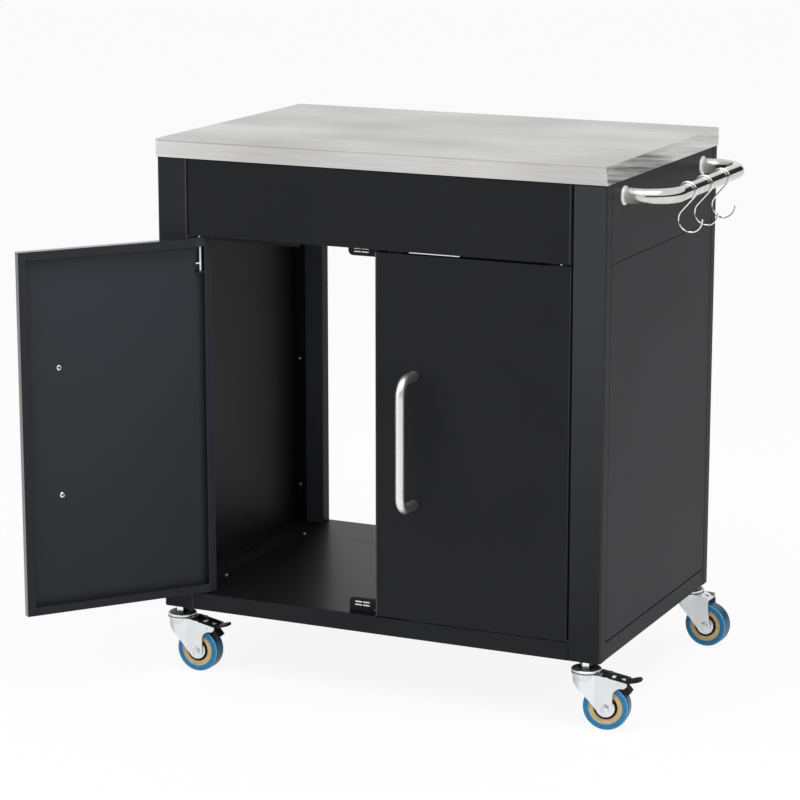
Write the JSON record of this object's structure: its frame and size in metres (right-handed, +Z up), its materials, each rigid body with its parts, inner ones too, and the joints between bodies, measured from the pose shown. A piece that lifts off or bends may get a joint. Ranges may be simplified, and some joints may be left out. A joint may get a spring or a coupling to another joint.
{
  "type": "kitchen cart",
  "caption": "Wheeled kitchen cart: black sheet cabinet with pin-hung doors, stainless worktop, towel rail with hooks, and swivel casters with brakes.",
  "frame": {"origin": "on the floor, under the middle of the cabinet", "axes": "+X to the right and +Y to the back, seen from the doors; +Z up"},
  "size_m": [1.0353, 0.7903, 0.914],
  "materials": {
    "black_paint": "satin black powder coat",
    "worktop_steel": "brushed stainless, grain across the width",
    "polished_steel": "polished stainless",
    "zinc_steel": "bright zinc plate",
    "blue_tread": "smooth blue elastomer",
    "tan_core": "moulded tan plastic",
    "black_brake": "satin black",
    "black_plastic": "matt black"
  },
  "bodies": {
    "cabinet": {"worktop": "worktop_steel", "worktop_channels": "zinc_steel", "front_left_post": "black_paint", "front_right_post": "black_paint", "rear_left_post": "black_paint", "rear_right_post": "black_paint", "front_apron": "black_paint", "rear_apron": "black_paint", "left_upper_panel": "black_paint", "right_upper_panel": "black_paint", "left_side_panel": "black_paint", "right_side_panel": "black_paint", "left_base_rail": "black_paint", "right_base_rail": "black_paint", "bottom_shelf": "black_paint", "caster_foot_plates": "zinc_steel", "catch_brackets": "black_paint", "magnet_housings": "black_plastic", "magnet_pole_plates": "zinc_steel", "assembly_screws": "zinc_steel", "towel_rail": "polished_steel", "rail_rosettes": "polished_steel", "rail_bolts": "zinc_steel", "lower_pivot_pins": "zinc_steel", "caster_stems": "zinc_steel"},
    "front_left_caster": {"front_left_fork": "zinc_steel", "front_left_axle": "zinc_steel"},
    "front_left_wheel": {"front_left_tread": "blue_tread", "front_left_core": "tan_core", "front_left_hub": "zinc_steel"},
    "front_left_brake_lever": {"front_left_brake": "black_brake"},
    "front_right_caster": {"front_right_fork": "zinc_steel", "front_right_axle": "zinc_steel"},
    "front_right_wheel": {"front_right_tread": "blue_tread", "front_right_core": "tan_core", "front_right_hub": "zinc_steel"},
    "front_right_brake_lever": {"front_right_brake": "black_brake"},
    "rear_left_caster": {"rear_left_fork": "zinc_steel", "rear_left_axle": "zinc_steel"},
    "rear_left_wheel": {"rear_left_tread": "blue_tread", "rear_left_core": "tan_core", "rear_left_hub": "zinc_steel"},
    "rear_right_caster": {"rear_right_fork": "zinc_steel", "rear_right_axle": "zinc_steel"},
    "rear_right_wheel": {"rear_right_tread": "blue_tread", "rear_right_core": "tan_core", "rear_right_hub": "zinc_steel"},
    "left_door_leaf": {"left_door": "black_paint", "left_handle": "polished_steel", "left_handle_screws": "zinc_steel", "left_pin_spring": "zinc_steel"},
    "left_pin": {"left_spring_pin": "zinc_steel"},
    "right_door_leaf": {"right_door": "black_paint", "right_handle": "polished_steel", "right_handle_screws": "zinc_steel", "right_pin_spring": "zinc_steel"},
    "right_pin": {"right_spring_pin": "zinc_steel"},
    "front_s_hook": {"front_hook": "polished_steel"},
    "middle_s_hook": {"middle_hook": "polished_steel"},
    "rear_s_hook": {"rear_hook": "polished_steel"}
  },
  "joints": [
    {"name": "left_door_hinge", "type": "hinge", "parent": "cabinet", "child": "left_door_leaf", "pos_m": [-0.323, -0.2565, 0.142], "axis": [0, 0, 1], "range_deg": [-7, 128]},
    {"name": "left_pin_slide", "type": "slide", "parent": "left_door_leaf", "child": "left_pin", "axis": [0, 0, -1], "range_m": [0, 0.0075], "stiffness_N_per_m": 400, "springref_m": -0.003, "deforming": ["left_pin_spring"]},
    {"name": "right_door_hinge", "type": "hinge", "parent": "cabinet", "child": "right_door_leaf", "pos_m": [0.323, -0.2565, 0.142], "axis": [0, 0, 1], "range_deg": [0, 135]},
    {"name": "right_pin_slide", "type": "slide", "parent": "right_door_leaf", "child": "right_pin", "axis": [0, 0, -1], "range_m": [0, 0.0075], "stiffness_N_per_m": 400, "springref_m": -0.003, "deforming": ["right_pin_spring"]},
    {"name": "front_left_swivel", "type": "hinge", "parent": "cabinet", "child": "front_left_caster", "pos_m": [-0.3715, -0.251, 0.0905], "axis": [0, 0, 1], "continuous": true},
    {"name": "front_left_wheel_spin", "type": "hinge", "parent": "front_left_caster", "child": "front_left_wheel", "pos_m": [-0.3365, -0.251, 0.038], "axis": [0, 1, 0], "continuous": true},
    {"name": "front_left_brake_press", "type": "hinge", "parent": "front_left_caster", "child": "front_left_brake_lever", "pos_m": [-0.3155, -0.251, 0.079], "axis": [0, 1, 0], "range_deg": [0, 7]},
    {"name": "front_right_swivel", "type": "hinge", "parent": "cabinet", "child": "front_right_caster", "pos_m": [0.3715, -0.251, 0.0905], "axis": [0, 0, 1], "continuous": true},
    {"name": "front_right_wheel_spin", "type": "hinge", "parent": "front_right_caster", "child": "front_right_wheel", "pos_m": [0.40616, -0.24613, 0.038], "axis": [-0.1392, 0.9903, 0], "continuous": true},
    {"name": "front_right_brake_press", "type": "hinge", "parent": "front_right_caster", "child": "front_right_brake_lever", "pos_m": [0.42695, -0.24321, 0.079], "axis": [-0.1392, 0.9903, 0], "range_deg": [0, 7]},
    {"name": "rear_left_swivel", "type": "hinge", "parent": "cabinet", "child": "rear_left_caster", "pos_m": [-0.3715, 0.251, 0.0905], "axis": [0, 0, 1], "continuous": true},
    {"name": "rear_left_wheel_spin", "type": "hinge", "parent": "rear_left_caster", "child": "rear_left_wheel", "pos_m": [-0.33726, 0.24372, 0.038], "axis": [0.2079, 0.9781, 0], "continuous": true},
    {"name": "rear_right_swivel", "type": "hinge", "parent": "cabinet", "child": "rear_right_caster", "pos_m": [0.3715, 0.251, 0.0905], "axis": [0, 0, 1], "continuous": true},
    {"name": "rear_right_wheel_spin", "type": "hinge", "parent": "rear_right_caster", "child": "rear_right_wheel", "pos_m": [0.40645, 0.24917, 0.038], "axis": [0.0523, 0.9986, 0], "continuous": true},
    {"name": "front_hook_swing", "type": "hinge", "parent": "cabinet", "child": "front_s_hook", "pos_m": [0.4732, -0.1, 0.859], "axis": [0, 1, 0], "range_deg": [-75, 75]},
    {"name": "middle_hook_swing", "type": "hinge", "parent": "cabinet", "child": "middle_s_hook", "pos_m": [0.4732, -0.022, 0.859], "axis": [0, 1, 0], "range_deg": [-75, 75]},
    {"name": "rear_hook_swing", "type": "hinge", "parent": "cabinet", "child": "rear_s_hook", "pos_m": [0.4732, 0.064, 0.859], "axis": [0, 1, 0], "range_deg": [-75, 75]}
  ]
}
